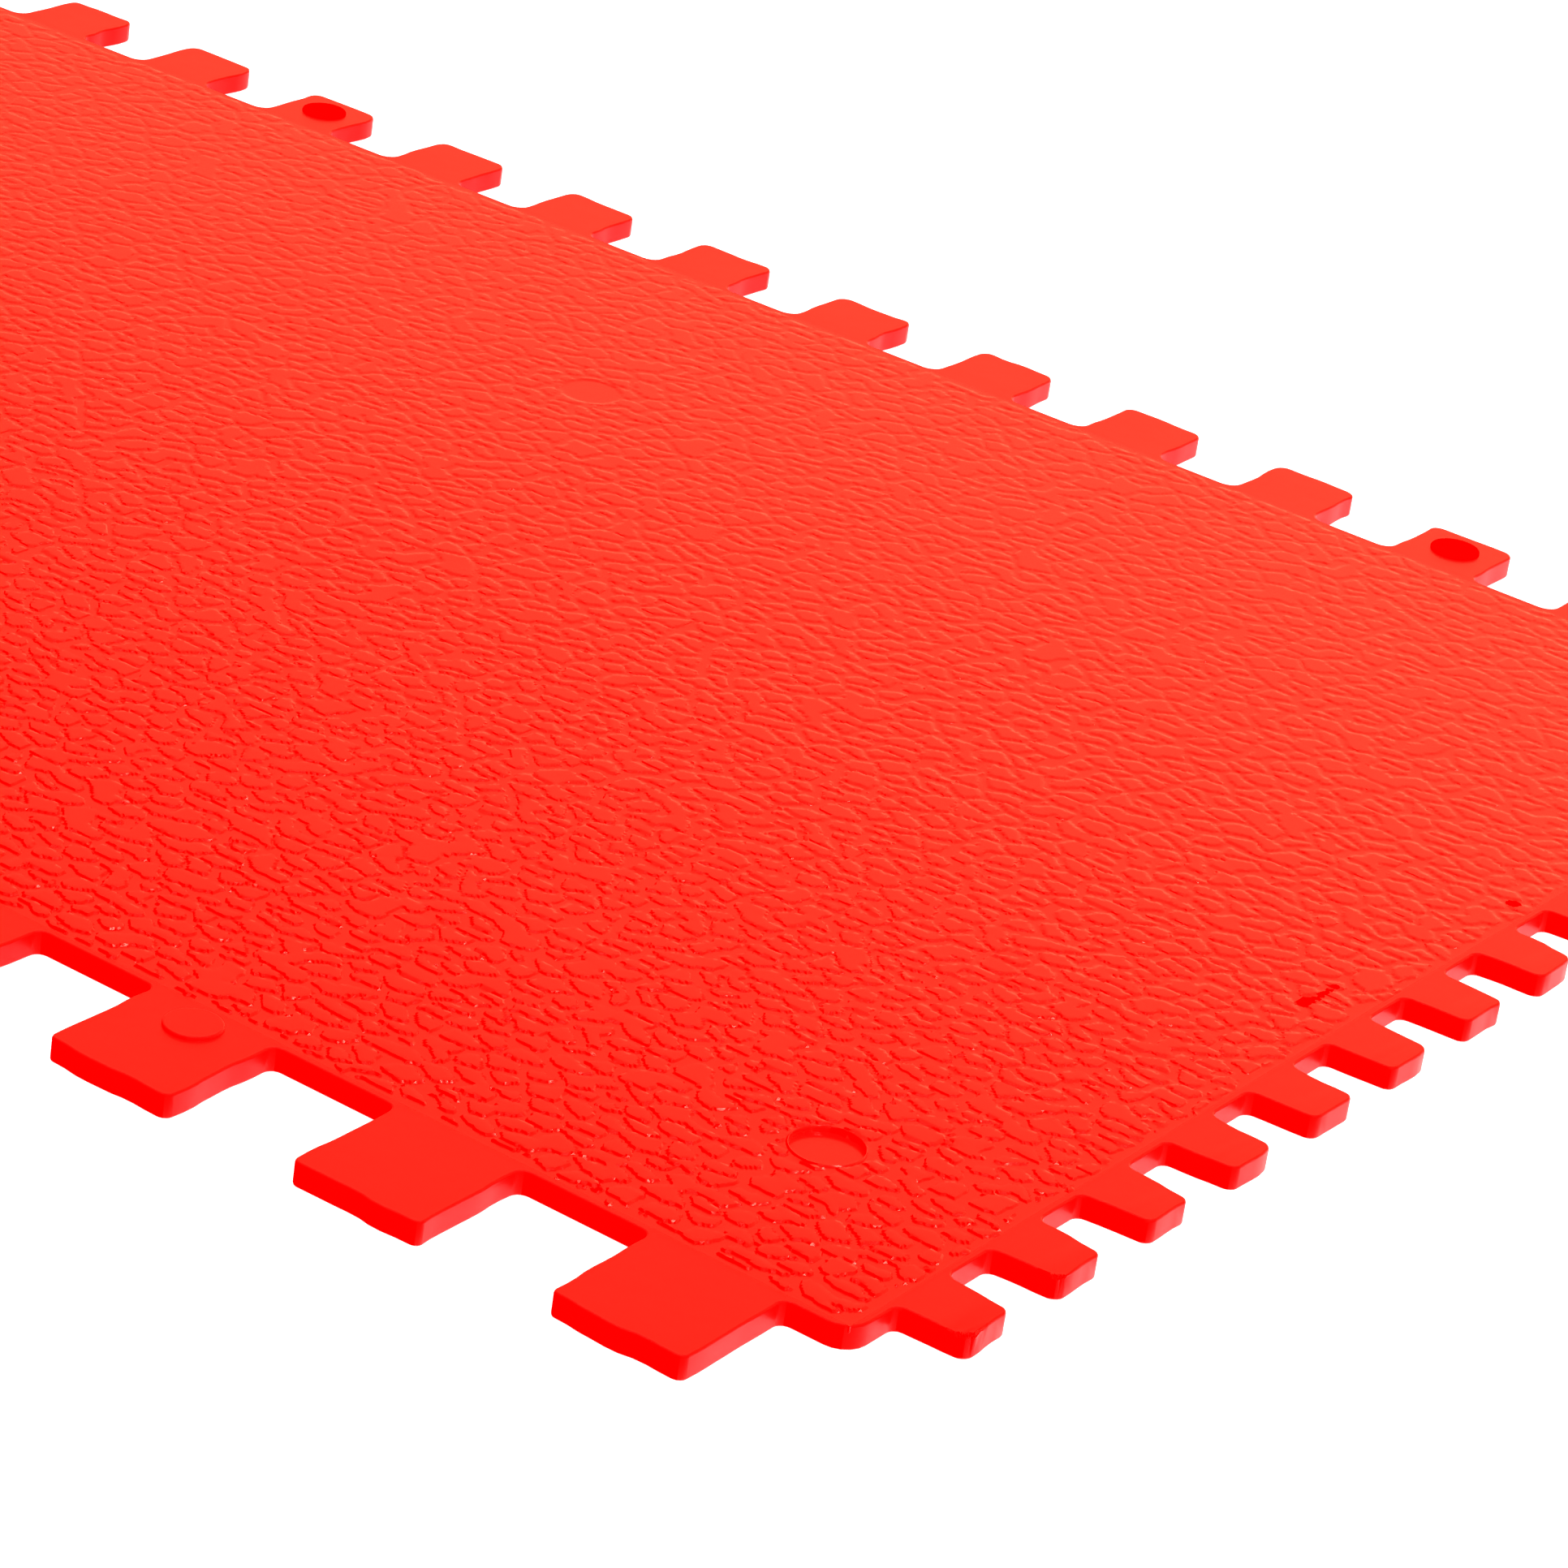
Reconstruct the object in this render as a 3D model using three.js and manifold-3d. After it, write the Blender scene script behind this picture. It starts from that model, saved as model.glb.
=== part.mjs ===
// A flat multi-notch adhesive spreader: one rigid injection-moulded plastic plate whose long sides
// and one short side are cut into square combs. Millimetres, +Z up, X along the long sides.
// The origin is on the underside, below the middle of the outline over the tooth tips.
// The plate is divided into its panel and its teeth, each a plain convex solid that meets the
// panel face to face, so that every notch between two teeth stays open.
import * as THREE from 'three';
import { mergeVertices } from 'three/addons/utils/BufferGeometryUtils.js';
import Module from 'manifold-3d';

// Plate
const THICKNESS = 1.4;
const PANEL_LENGTH = 240;
const PANEL_WIDTH = 106;
const PANEL_CORNER_RADIUS = 1.5;
const CORNER_SEGMENTS = 8;
const TIP_SEGMENTS = 4;
const QUARTER_TURN = Math.PI / 2;

// Combs. A pitch is one tooth and one notch. The margin runs from the panel's corner to the
// nearest tooth centre, along the comb's own side.
const COARSE_COMB = {
  name: 'tooth_8mm', count: 15, pitch: 16, margin: 8,
  rootWidth: 8, tipWidth: 8, depth: 8, tipRadius: 0.5,
};
const MEDIUM_COMB = {
  name: 'tooth_6mm', count: 20, pitch: 12, margin: 6,
  rootWidth: 6, tipWidth: 6, depth: 6, tipRadius: 0.4,
};
const FINE_COMB = {
  name: 'tooth_4mm', count: 13, pitch: 8, margin: 5.85,
  rootWidth: 4.3, tipWidth: 3.7, depth: 4, tipRadius: 0.35,
};

// Shallow round marks that the mould's ejector pins leave in the upper face, each placed by its
// distance in from the panel's right side and up from its front side
const PIN_SEGMENTS = 48;
const PIN_RADIUS = 2;
const PIN_SINK = 0.25;
const PIN_MARKS = [
  { inward: 11.25, up: 13.55 },
  { inward: 80.6, up: 83 },
];

const PLASTIC_COLOUR = 0xee1c12;
const PLASTIC_ROUGHNESS = 0.42;

// Panel sides in the part's frame
const RIGHT_SIDE = (PANEL_LENGTH - FINE_COMB.depth) / 2;
const LEFT_SIDE = RIGHT_SIDE - PANEL_LENGTH;
const FRONT_SIDE = (COARSE_COMB.depth - MEDIUM_COMB.depth - PANEL_WIDTH) / 2;
const BACK_SIDE = FRONT_SIDE + PANEL_WIDTH;

const wasm = await Module();
wasm.setup();

/** One welded solid, as the boolean library's mesh. */
function toSolid(geometry) {
  const bare = geometry.clone();
  bare.deleteAttribute('normal');
  bare.deleteAttribute('uv');
  const welded = mergeVertices(bare);
  const mesh = new wasm.Mesh({
    numProp: 3,
    vertProperties: new Float32Array(welded.attributes.position.array),
    triVerts: new Uint32Array(welded.index.array),
  });
  return new wasm.Manifold(mesh);
}

/** The boolean library's solid, as a geometry. */
function toGeometry(solid) {
  const mesh = solid.getMesh();
  const geometry = new THREE.BufferGeometry();
  geometry.setAttribute('position', new THREE.BufferAttribute(mesh.vertProperties, mesh.numProp));
  geometry.setIndex(new THREE.BufferAttribute(mesh.triVerts, 1));
  geometry.computeVertexNormals();
  return geometry;
}

/** A closed outline drawn up to the plate's thickness. */
function plateSolid(outline, curveSegments) {
  return new THREE.ExtrudeGeometry(outline, {
    depth: THICKNESS,
    bevelEnabled: false,
    curveSegments,
  });
}

/** An upright round pin that reaches as far above the upper face as it sinks into it. */
function pinSolid(mark) {
  const pin = new THREE.CylinderGeometry(PIN_RADIUS, PIN_RADIUS, 2 * PIN_SINK, PIN_SEGMENTS);
  pin.rotateX(QUARTER_TURN);
  pin.translate(RIGHT_SIDE - mark.inward, FRONT_SIDE + mark.up, THICKNESS);
  return toSolid(pin);
}

/** The panel: a rectangle with rounded corners, sunk a little at its ejector marks. */
function panelGeometry() {
  const r = PANEL_CORNER_RADIUS;
  const outline = new THREE.Shape();
  outline.moveTo(LEFT_SIDE + r, FRONT_SIDE);
  outline.lineTo(RIGHT_SIDE - r, FRONT_SIDE);
  outline.absarc(RIGHT_SIDE - r, FRONT_SIDE + r, r, -QUARTER_TURN, 0);
  outline.lineTo(RIGHT_SIDE, BACK_SIDE - r);
  outline.absarc(RIGHT_SIDE - r, BACK_SIDE - r, r, 0, QUARTER_TURN);
  outline.lineTo(LEFT_SIDE + r, BACK_SIDE);
  outline.absarc(LEFT_SIDE + r, BACK_SIDE - r, r, QUARTER_TURN, 2 * QUARTER_TURN);
  outline.lineTo(LEFT_SIDE, FRONT_SIDE + r);
  outline.absarc(LEFT_SIDE + r, FRONT_SIDE + r, r, 2 * QUARTER_TURN, 3 * QUARTER_TURN);
  const plain = toSolid(plateSolid(outline, CORNER_SEGMENTS));
  return toGeometry(PIN_MARKS.reduce((solid, mark) => solid.subtract(pinSolid(mark)), plain));
}

/** A tooth that points along -Y from the origin, rounded at the corners of its tip. */
function toothOutline(comb) {
  const { rootWidth, tipWidth, depth, tipRadius } = comb;
  const root = rootWidth / 2;
  const tip = tipWidth / 2;
  const outline = new THREE.Shape();
  outline.moveTo(-root, 0);
  outline.lineTo(-tip, tipRadius - depth);
  outline.quadraticCurveTo(-tip, -depth, tipRadius - tip, -depth);
  outline.lineTo(tip - tipRadius, -depth);
  outline.quadraticCurveTo(tip, -depth, tip, tipRadius - depth);
  outline.lineTo(root, 0);
  return outline;
}

function plasticMesh(name, geometry) {
  const material = new THREE.MeshStandardMaterial({
    color: PLASTIC_COLOUR,
    roughness: PLASTIC_ROUGHNESS,
    metalness: 0,
  });
  const mesh = new THREE.Mesh(geometry, material);
  mesh.name = name;
  return mesh;
}

/** Every tooth of one comb. place turns a distance along its side into a root centre and a turn. */
function combMeshes(comb, place) {
  return Array.from({ length: comb.count }, (_, index) => {
    const { turn, x, y } = place(comb.margin + index * comb.pitch);
    const geometry = toGeometry(toSolid(plateSolid(toothOutline(comb), TIP_SEGMENTS)));
    geometry.rotateZ(turn);
    geometry.translate(x, y, 0);
    return plasticMesh(`${comb.name}_${String(index + 1).padStart(2, '0')}`, geometry);
  });
}

const spreader = new THREE.Group();
spreader.name = 'notched_spreader';
spreader.add(plasticMesh('panel', panelGeometry()));
spreader.add(...combMeshes(COARSE_COMB, (along) => (
  { turn: 0, x: RIGHT_SIDE - along, y: FRONT_SIDE }
)));
spreader.add(...combMeshes(MEDIUM_COMB, (along) => (
  { turn: 2 * QUARTER_TURN, x: RIGHT_SIDE - along, y: BACK_SIDE }
)));
spreader.add(...combMeshes(FINE_COMB, (along) => (
  { turn: QUARTER_TURN, x: RIGHT_SIDE, y: FRONT_SIDE + along }
)));

export default spreader;
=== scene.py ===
"""A flat plastic adhesive spreader with a square-notched comb on three of its sides.

The spreader is one injection moulding. Its outline, teeth and softened edges are one piece, and the
pebble grain moulded into its upper face is laid into that piece as a row of closed skins, so that
each stays light enough to export.
"""

import logging
import math
from collections.abc import Iterable
from dataclasses import dataclass, field
from enum import Enum
from itertools import pairwise

import bmesh
import bpy
import numpy as np
from bmesh.types import BMEdge, BMFace, BMVert, BMesh
from bpy.types import NodeSocket, NodeTree
from mathutils import Matrix, Quaternion, Vector


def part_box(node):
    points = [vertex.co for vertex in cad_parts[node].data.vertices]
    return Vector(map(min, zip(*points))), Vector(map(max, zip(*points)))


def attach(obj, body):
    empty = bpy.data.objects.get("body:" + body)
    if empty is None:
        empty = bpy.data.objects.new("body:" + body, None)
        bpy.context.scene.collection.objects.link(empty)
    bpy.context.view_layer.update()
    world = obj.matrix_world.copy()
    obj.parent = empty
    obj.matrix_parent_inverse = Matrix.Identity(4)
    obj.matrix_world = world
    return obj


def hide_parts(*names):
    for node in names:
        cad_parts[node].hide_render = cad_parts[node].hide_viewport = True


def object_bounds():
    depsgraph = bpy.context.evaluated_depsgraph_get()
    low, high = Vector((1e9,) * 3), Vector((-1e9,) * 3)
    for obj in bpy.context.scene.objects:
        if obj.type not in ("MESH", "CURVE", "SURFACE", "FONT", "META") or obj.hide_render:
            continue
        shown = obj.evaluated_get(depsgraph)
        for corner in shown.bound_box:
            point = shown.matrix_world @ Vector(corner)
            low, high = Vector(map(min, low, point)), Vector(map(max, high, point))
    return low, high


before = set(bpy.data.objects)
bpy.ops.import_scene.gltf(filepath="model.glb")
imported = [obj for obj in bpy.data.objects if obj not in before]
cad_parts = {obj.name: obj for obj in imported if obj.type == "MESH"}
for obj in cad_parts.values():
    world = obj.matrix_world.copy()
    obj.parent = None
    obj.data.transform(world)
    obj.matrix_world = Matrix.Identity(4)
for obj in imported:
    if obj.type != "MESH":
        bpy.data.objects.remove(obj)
CAD_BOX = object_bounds()

LOG = logging.getLogger("spreader")
MM = 0.001
TOUCH = 1e-6
BODY = "root"
LEVEL_FACING = 0.9


def only(geom: Iterable, kind: type) -> list:
    """The elements of one kind out of a bmesh operator's result."""
    return [item for item in geom if isinstance(item, kind)]


def bevel(
    bm: BMesh, geom: list, offset: float, segments: int, affect: str, clamp: bool = False
) -> None:
    """Rounds edges, or the corners of a flat outline."""
    bmesh.ops.bevel(
        bm,
        geom=geom,
        offset=offset,
        offset_type="OFFSET",
        segments=segments,
        profile=0.5,
        affect=affect,
        material=-1,
        clamp_overlap=clamp,
    )


class Side(Enum):
    """The sides of the panel that carry a comb, as the outward direction of their teeth."""

    FRONT = (0.0, -1.0)
    BACK = (0.0, 1.0)
    RIGHT = (1.0, 0.0)

    @property
    def outward(self) -> Vector:
        """The way the teeth point."""
        return Vector((*self.value, 0.0))

    @property
    def along(self) -> Vector:
        """The way the comb runs, without a sign."""
        return Vector((abs(self.value[1]), abs(self.value[0]), 0.0))


class Surface(Enum):
    """The moulded surfaces that the spreader has, and a painted-shade finish: the same red, deeper and
    with no reflection.
    """

    SMOOTH = "smooth"
    GRAINED = "grained"
    # Painted shade: a deeper red with no reflection, put where the studio leaves faces in shade.
    PAINTED_SHADE = "painted_shade"


@dataclass(frozen=True)
class RedPlastic:
    """A satin red moulding compound.

    Attributes:
        colour: The body colour, linear.
        deep_colour: The colour of the slightly denser clouds in the compound.
        roughness: The mean roughness.
        roughness_spread: How far the roughness strays from its mean.
        specular: The strength of the surface reflection.
        ripple_scale: How many ripples of the moulded skin fit in a metre.
        ripple_height: The height of those ripples, in metres.
        sheen_tint: The colour of the reflection where it is seen from straight above.
        cloud_scale: How many clouds fit in a metre.
        cloud_detail: The octaves of the clouds.
        ripple_detail: The octaves of the ripples.
    """

    colour: tuple[float, float, float]
    deep_colour: tuple[float, float, float]
    roughness: float
    roughness_spread: float
    specular: float
    ripple_scale: float
    ripple_height: float
    sheen_tint: tuple[float, float, float] = (1.0, 0.0, 0.0)
    cloud_scale: float = 90.0
    cloud_detail: float = 3.0
    ripple_detail: float = 2.0

    def material(self, name: str) -> bpy.types.Material:
        """Builds the node material.

        Args:
            name: The name of the new material.

        Returns:
            The material.
        """
        material = bpy.data.materials.new(name)
        material.use_nodes = True
        tree = material.node_tree
        shader = tree.nodes["Principled BSDF"]
        shader.inputs["Specular IOR Level"].default_value = self.specular
        shader.inputs["Specular Tint"].default_value = (*self.sheen_tint, 1.0)
        place = tree.nodes.new("ShaderNodeTexCoord").outputs["Object"]
        clouds = self._noise(tree, place, scale=self.cloud_scale, detail=self.cloud_detail)
        self._blend_colour(tree, clouds, shader.inputs["Base Color"])
        self._spread_roughness(tree, clouds, shader.inputs["Roughness"])
        self._ripple(tree, place, shader.inputs["Normal"])
        return material

    @staticmethod
    def _noise(
        tree: NodeTree, place: NodeSocket, scale: float, detail: float
    ) -> NodeSocket:
        """Adds a noise pattern on the object's own coordinates, with values from 0 to 1."""
        noise = tree.nodes.new("ShaderNodeTexNoise")
        noise.inputs["Scale"].default_value = scale
        noise.inputs["Detail"].default_value = detail
        tree.links.new(place, noise.inputs["Vector"])
        return noise.outputs["Fac"]

    def _blend_colour(
        self, tree: NodeTree, clouds: NodeSocket, target: NodeSocket
    ) -> None:
        """Mixes the two reds by the clouds."""
        ramp = tree.nodes.new("ShaderNodeValToRGB")
        ramp.color_ramp.elements[0].color = (*self.deep_colour, 1.0)
        ramp.color_ramp.elements[1].color = (*self.colour, 1.0)
        tree.links.new(clouds, ramp.inputs["Fac"])
        tree.links.new(ramp.outputs["Color"], target)

    def _spread_roughness(
        self, tree: NodeTree, clouds: NodeSocket, target: NodeSocket
    ) -> None:
        """Lets the roughness follow the clouds."""
        spread = tree.nodes.new("ShaderNodeMapRange")
        spread.inputs["To Min"].default_value = self.roughness - self.roughness_spread
        spread.inputs["To Max"].default_value = self.roughness + self.roughness_spread
        tree.links.new(clouds, spread.inputs["Value"])
        tree.links.new(spread.outputs["Result"], target)

    def _ripple(
        self, tree: NodeTree, place: NodeSocket, target: NodeSocket
    ) -> None:
        """Adds the faint ripples of the moulded skin."""
        ripples = self._noise(tree, place, scale=self.ripple_scale, detail=self.ripple_detail)
        bump = tree.nodes.new("ShaderNodeBump")
        bump.inputs["Distance"].default_value = self.ripple_height
        tree.links.new(ripples, bump.inputs["Height"])
        tree.links.new(bump.outputs["Normal"], target)


FINISHES = {
    Surface.SMOOTH: RedPlastic(
        colour=(0.88, 0.0008, 0.0006),
        deep_colour=(0.84, 0.0005, 0.0004),
        roughness=0.3,
        roughness_spread=0.05,
        specular=0.18,
        ripple_scale=320.0,
        ripple_height=0.012 * MM,
    ),
    Surface.GRAINED: RedPlastic(
        colour=(0.88, 0.0008, 0.0006),
        deep_colour=(0.84, 0.0005, 0.0004),
        roughness=0.18,
        roughness_spread=0.03,
        specular=0.2,
        ripple_scale=900.0,
        ripple_height=0.004 * MM,
        sheen_tint=(1.0, 0.4, 0.3),
    ),
    # Painted shade: a deeper red with no reflection, for the front-facing walls, the dents and the back
    # comb's marks.
    Surface.PAINTED_SHADE: RedPlastic(
        colour=(0.88, 0.0002, 0.0001),
        deep_colour=(0.82, 0.0001, 0.0001),
        roughness=0.45,
        roughness_spread=0.05,
        specular=0.0,
        ripple_scale=700.0,
        ripple_height=0.008 * MM,
    ),
}


@dataclass
class Comb:
    """One row of square teeth. Their places and sizes come from the comb's CAD nodes.

    Attributes:
        side: The side of the panel that it grows from.
        prefix: The start of its node names.
        tip_width: The width of a tooth at its tip.
        root_fillet: The radius where a tooth meets the panel.
        tip_radius: The radius of a tip's corners.
        marked: The indices of the teeth that carry a raised ejector mark.
        mark_reach: How far out from the root line a mark's centre is.
        mark_is_darkened: Whether the marks take the painted-shade finish all over, a deeper red with no
            reflection.
        chipped: The indices of the teeth with a chipped tip, each with the chip's reach.
    """

    side: Side
    prefix: str
    tip_width: float
    root_fillet: float
    tip_radius: float
    marked: tuple[int, ...] = ()
    mark_reach: float = 0.0
    # Painted shade on the marks when set: a deeper red with no reflection.
    mark_is_darkened: bool = False
    chipped: tuple[tuple[int, float], ...] = ()
    centres: list[Vector] = field(init=False)
    root_width: float = field(init=False)
    depth: float = field(init=False)
    nodes: list[str] = field(init=False)

    def __post_init__(self) -> None:
        """Reads the teeth from the frame."""
        self.nodes = sorted(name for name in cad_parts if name.startswith(self.prefix))
        boxes = [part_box(name) for name in self.nodes]
        low, high = boxes[0]
        size = high - low
        self.root_width = abs(size.dot(self.side.along))
        self.depth = abs(size.dot(self.side.outward))
        half_depth = self.side.outward * (self.depth / 2)
        self.centres = [self._flat((low + high) / 2 - half_depth) for low, high in boxes]

    @staticmethod
    def _flat(point: Vector) -> Vector:
        """The point without its height."""
        return Vector((point.x, point.y, 0.0))

    @property
    def root_line(self) -> float:
        """Where the roots lie, measured along the way that the teeth point."""
        return self.centres[0].dot(self.side.outward)

    @property
    def cuts(self) -> list[float]:
        """Where the sides of the teeth meet the root line, along the comb."""
        half = self.root_width / 2
        spots = [centre.dot(self.side.along) for centre in self.centres]
        return sorted(spot + end for spot in spots for end in (-half, half))


@dataclass
class Panel:
    """The rectangle that the teeth grow from, read from its CAD node."""

    low: Vector = field(init=False)
    high: Vector = field(init=False)
    corner_radius: float = 1.5 * MM

    def __post_init__(self) -> None:
        """Reads the box."""
        self.low, self.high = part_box("panel")

    @property
    def thickness(self) -> float:
        """From the underside to the upper face."""
        return self.high.z - self.low.z

    @property
    def top(self) -> float:
        """The height of the upper face."""
        return self.high.z

    @property
    def centre(self) -> Vector:
        """The middle of the panel."""
        return (self.low + self.high) / 2


class Moulding:
    """Shared steps that turn a finished bmesh into a piece on the spreader's body, with painted shade
    on its steep front-facing faces.
    """

    # Steep faces that look this way, towards the front, get painted shade.
    PAINTED_SHADE_WAY = (-0.55, -0.84, 0.0)
    PAINTED_SHADE_FACING = 0.42
    PAINTED_SHADE_SLOPE = 0.87

    @classmethod
    def finish(
        cls, bm: BMesh, name: str, surface: Surface, crease_deg: float
    ) -> bpy.types.Object:
        """Makes the object, with smooth faces and edges that stay crisp above an angle.

        Args:
            bm: The finished shape, which is freed.
            name: The piece's name.
            surface: Which finish it takes.
            crease_deg: The angle between faces above which an edge is crisp, in degrees.

        Returns:
            The piece.
        """
        bmesh.ops.recalc_face_normals(bm, faces=bm.faces[:])
        mesh = bpy.data.meshes.new(name)
        bm.to_mesh(mesh)
        bm.free()
        mesh.shade_smooth()
        mesh.set_sharp_from_angle(angle=math.radians(crease_deg))
        mesh.materials.append(finish_material(surface))
        # The second slot is the painted shade.
        mesh.materials.append(finish_material(Surface.PAINTED_SHADE))
        cls._paint_shade_on_front_walls(mesh)
        piece = bpy.data.objects.new(name, mesh)
        bpy.context.scene.collection.objects.link(piece)
        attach(piece, BODY)
        triangles = sum(len(polygon.vertices) - 2 for polygon in mesh.polygons)
        LOG.info("%s: %d triangles", name, triangles)
        return piece

    @classmethod
    def _paint_shade_on_front_walls(cls, mesh: bpy.types.Mesh) -> None:
        """Paints shade on the steep faces that look to the front: they take a deeper red with no
        reflection.
        """
        normals = np.empty(3 * len(mesh.polygons))
        mesh.polygons.foreach_get("normal", normals)
        normals = normals.reshape(-1, 3)
        facing = normals @ np.array(cls.PAINTED_SHADE_WAY) > cls.PAINTED_SHADE_FACING
        steep = np.abs(normals[:, 2]) < cls.PAINTED_SHADE_SLOPE
        painted_shade_slots = np.empty(len(mesh.polygons), np.int32)
        mesh.polygons.foreach_get("material_index", painted_shade_slots)
        mesh.polygons.foreach_set("material_index", painted_shade_slots | (facing & steep))


def finish_material(surface: Surface) -> bpy.types.Material:
    """The material of a surface, made once.

    Args:
        surface: The kind of moulded surface.

    Returns:
        Its material.
    """
    name = f"red_plastic_{surface.value}"
    return bpy.data.materials.get(name) or FINISHES[surface].material(name)


@dataclass
class SpreaderPlate(Moulding):
    """The moulding's outline, teeth, softened edges and the pocket that holds the grained skin."""

    panel: Panel
    combs: list[Comb]
    corner_segments: int = 5
    wave_step: float = 0.8 * MM
    wave_height: float = 0.13 * MM
    wave_length: float = 1.6 * MM
    wave_onset: float = 1.5 * MM
    rim_radius: float = 0.14 * MM
    rim_segments: int = 2
    pocket_margin: float = 0.45 * MM
    pocket_depth: float = 0.4 * MM
    crease_deg: float = 50.0
    flatten_weight: int = 100
    wave_seeds: tuple[int, int] = (11, 12)
    mark_radius: float = 1.6 * MM
    mark_rise: float = 0.2 * MM
    mark_rim: float = 0.12 * MM
    mark_sides: int = 48
    chip_depth: float = 0.3 * MM
    chip_band: float = 0.3 * MM
    chip_cuts: int = 2
    chip_seed: int = 5

    def build(self) -> bpy.types.Object:
        """Builds the plate.

        Returns:
            The piece. Every CAD node is hidden.
        """
        bm = bmesh.new()
        self._lay_panel(bm)
        corners = self._panel_corners(bm)
        for comb in self.combs:
            corners += self._grow_teeth(bm, comb)
        inner = [edge for edge in bm.edges if not edge.is_boundary]
        bmesh.ops.dissolve_edges(bm, edges=inner, use_verts=False)
        for verts, radius in corners:
            self._round(bm, verts, radius)
        self._waver(bm)
        self._thicken(bm)
        self._soften_rims(bm)
        self._sink_pocket(bm)
        for comb in self.combs:
            self._raise_marks(bm, comb)
            for index, size in comb.chipped:
                self._chip_tip(bm, comb, index, size)
        piece = self.finish(bm, "spreader_plate", Surface.SMOOTH, self.crease_deg)
        normals = piece.modifiers.new("flat_faces_stay_flat", "WEIGHTED_NORMAL")
        normals.keep_sharp = True
        normals.weight = self.flatten_weight
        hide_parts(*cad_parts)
        return piece

    def _lay_panel(self, bm: BMesh) -> None:
        """Lays the panel's upper face as one flat quad."""
        size = self.panel.high - self.panel.low
        bmesh.ops.create_grid(bm, x_segments=1, y_segments=1, size=0.5)
        bmesh.ops.scale(bm, vec=(size.x, size.y, 1.0), verts=bm.verts[:])
        centre = self.panel.centre
        bmesh.ops.translate(bm, vec=(centre.x, centre.y, self.panel.top), verts=bm.verts[:])

    def _panel_corners(self, bm: BMesh) -> list[tuple[list[BMVert], float]]:
        """The panel's four corners with their radius."""
        return [(bm.verts[:], self.panel.corner_radius)]

    def _grow_teeth(
        self, bm: BMesh, comb: Comb
    ) -> list[tuple[list[BMVert], float]]:
        """Draws one comb's teeth out of its side."""
        roots = [self._split_side(bm, comb, cut) for cut in comb.cuts]
        pairs = zip(roots[0::2], roots[1::2], strict=True)
        bases = [bm.edges.get(pair) for pair in pairs]
        tips = only(bmesh.ops.extrude_edge_only(bm, edges=bases)["geom"], BMVert)
        bmesh.ops.translate(bm, verts=tips, vec=comb.side.outward * comb.depth)
        along = comb.side.along
        taper = (comb.root_width - comb.tip_width) / 2
        for tip in tips:
            nearest = min(comb.centres, key=lambda spot: abs(along.dot(spot - tip.co)))
            towards = 1.0 if along.dot(nearest - tip.co) > 0 else -1.0
            tip.co += along * (towards * taper)
        return [(roots, comb.root_fillet), (tips, comb.tip_radius)]

    @staticmethod
    def _split_side(bm: BMesh, comb: Comb, cut: float) -> BMVert:
        """Adds a vertex on a comb's root line."""
        along, outward = comb.side.along, comb.side.outward
        for edge in bm.edges:
            start, end = (vert.co for vert in edge.verts)
            on_line = all(abs(spot.dot(outward) - comb.root_line) < TOUCH for spot in (start, end))
            reach = end.dot(along) - start.dot(along)
            share = (cut - start.dot(along)) / reach if on_line and reach else -1.0
            if 0.0 < share < 1.0:
                return bmesh.utils.edge_split(edge, edge.verts[0], share)[1]
        raise ValueError(f"no edge of the {comb.side.name} side spans {cut}")

    def _round(self, bm: BMesh, verts: list[BMVert], radius: float) -> None:
        """Rounds corners of the flat outline."""
        bevel(bm, verts, radius, self.corner_segments, "VERTICES")

    def _waver(self, bm: BMesh) -> None:
        """Lets the outline waver a little, as a moulded edge does."""
        for edge in bm.edges[:]:
            cuts = int(edge.calc_length() / self.wave_step)
            if cuts:
                bmesh.ops.subdivide_edges(bm, edges=[edge], cuts=cuts)
        extent = (Vector(CAD_BOX[0]), Vector(CAD_BOX[1]))
        swells = [SwellField(self.wave_length, extent, seed) for seed in self.wave_seeds]
        for vert in bm.verts:
            x, y = np.array(vert.co.x), np.array(vert.co.y)
            height = self.wave_height * self._freedom(vert.co)
            vert.co.x += height * float(swells[0].at(x, y))
            vert.co.y += height * float(swells[1].at(x, y))

    def _freedom(self, spot: Vector) -> float:
        """How freely the outline wavers: not at all on the root lines, fully out on the teeth."""
        reach = max(
            spot.x - self.panel.high.x, spot.y - self.panel.high.y, self.panel.low.y - spot.y, 0.0
        )
        return min(reach / self.wave_onset, 1.0)

    def _thicken(self, bm: BMesh) -> None:
        """Draws the outline down to the underside."""
        drawn = bmesh.ops.extrude_face_region(bm, geom=bm.faces[:])["geom"]
        lower = only(drawn, BMVert)
        bmesh.ops.translate(bm, verts=lower, vec=(0.0, 0.0, -self.panel.thickness))
        bmesh.ops.recalc_face_normals(bm, faces=bm.faces[:])

    def _soften_rims(self, bm: BMesh) -> None:
        """Rounds the long edges between the faces and the walls."""
        flat = [face for face in bm.faces if abs(face.normal.z) > LEVEL_FACING]
        rims = {edge for face in flat for edge in face.edges}
        bevel(bm, list(rims), self.rim_radius, self.rim_segments, "EDGES", clamp=True)

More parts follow.
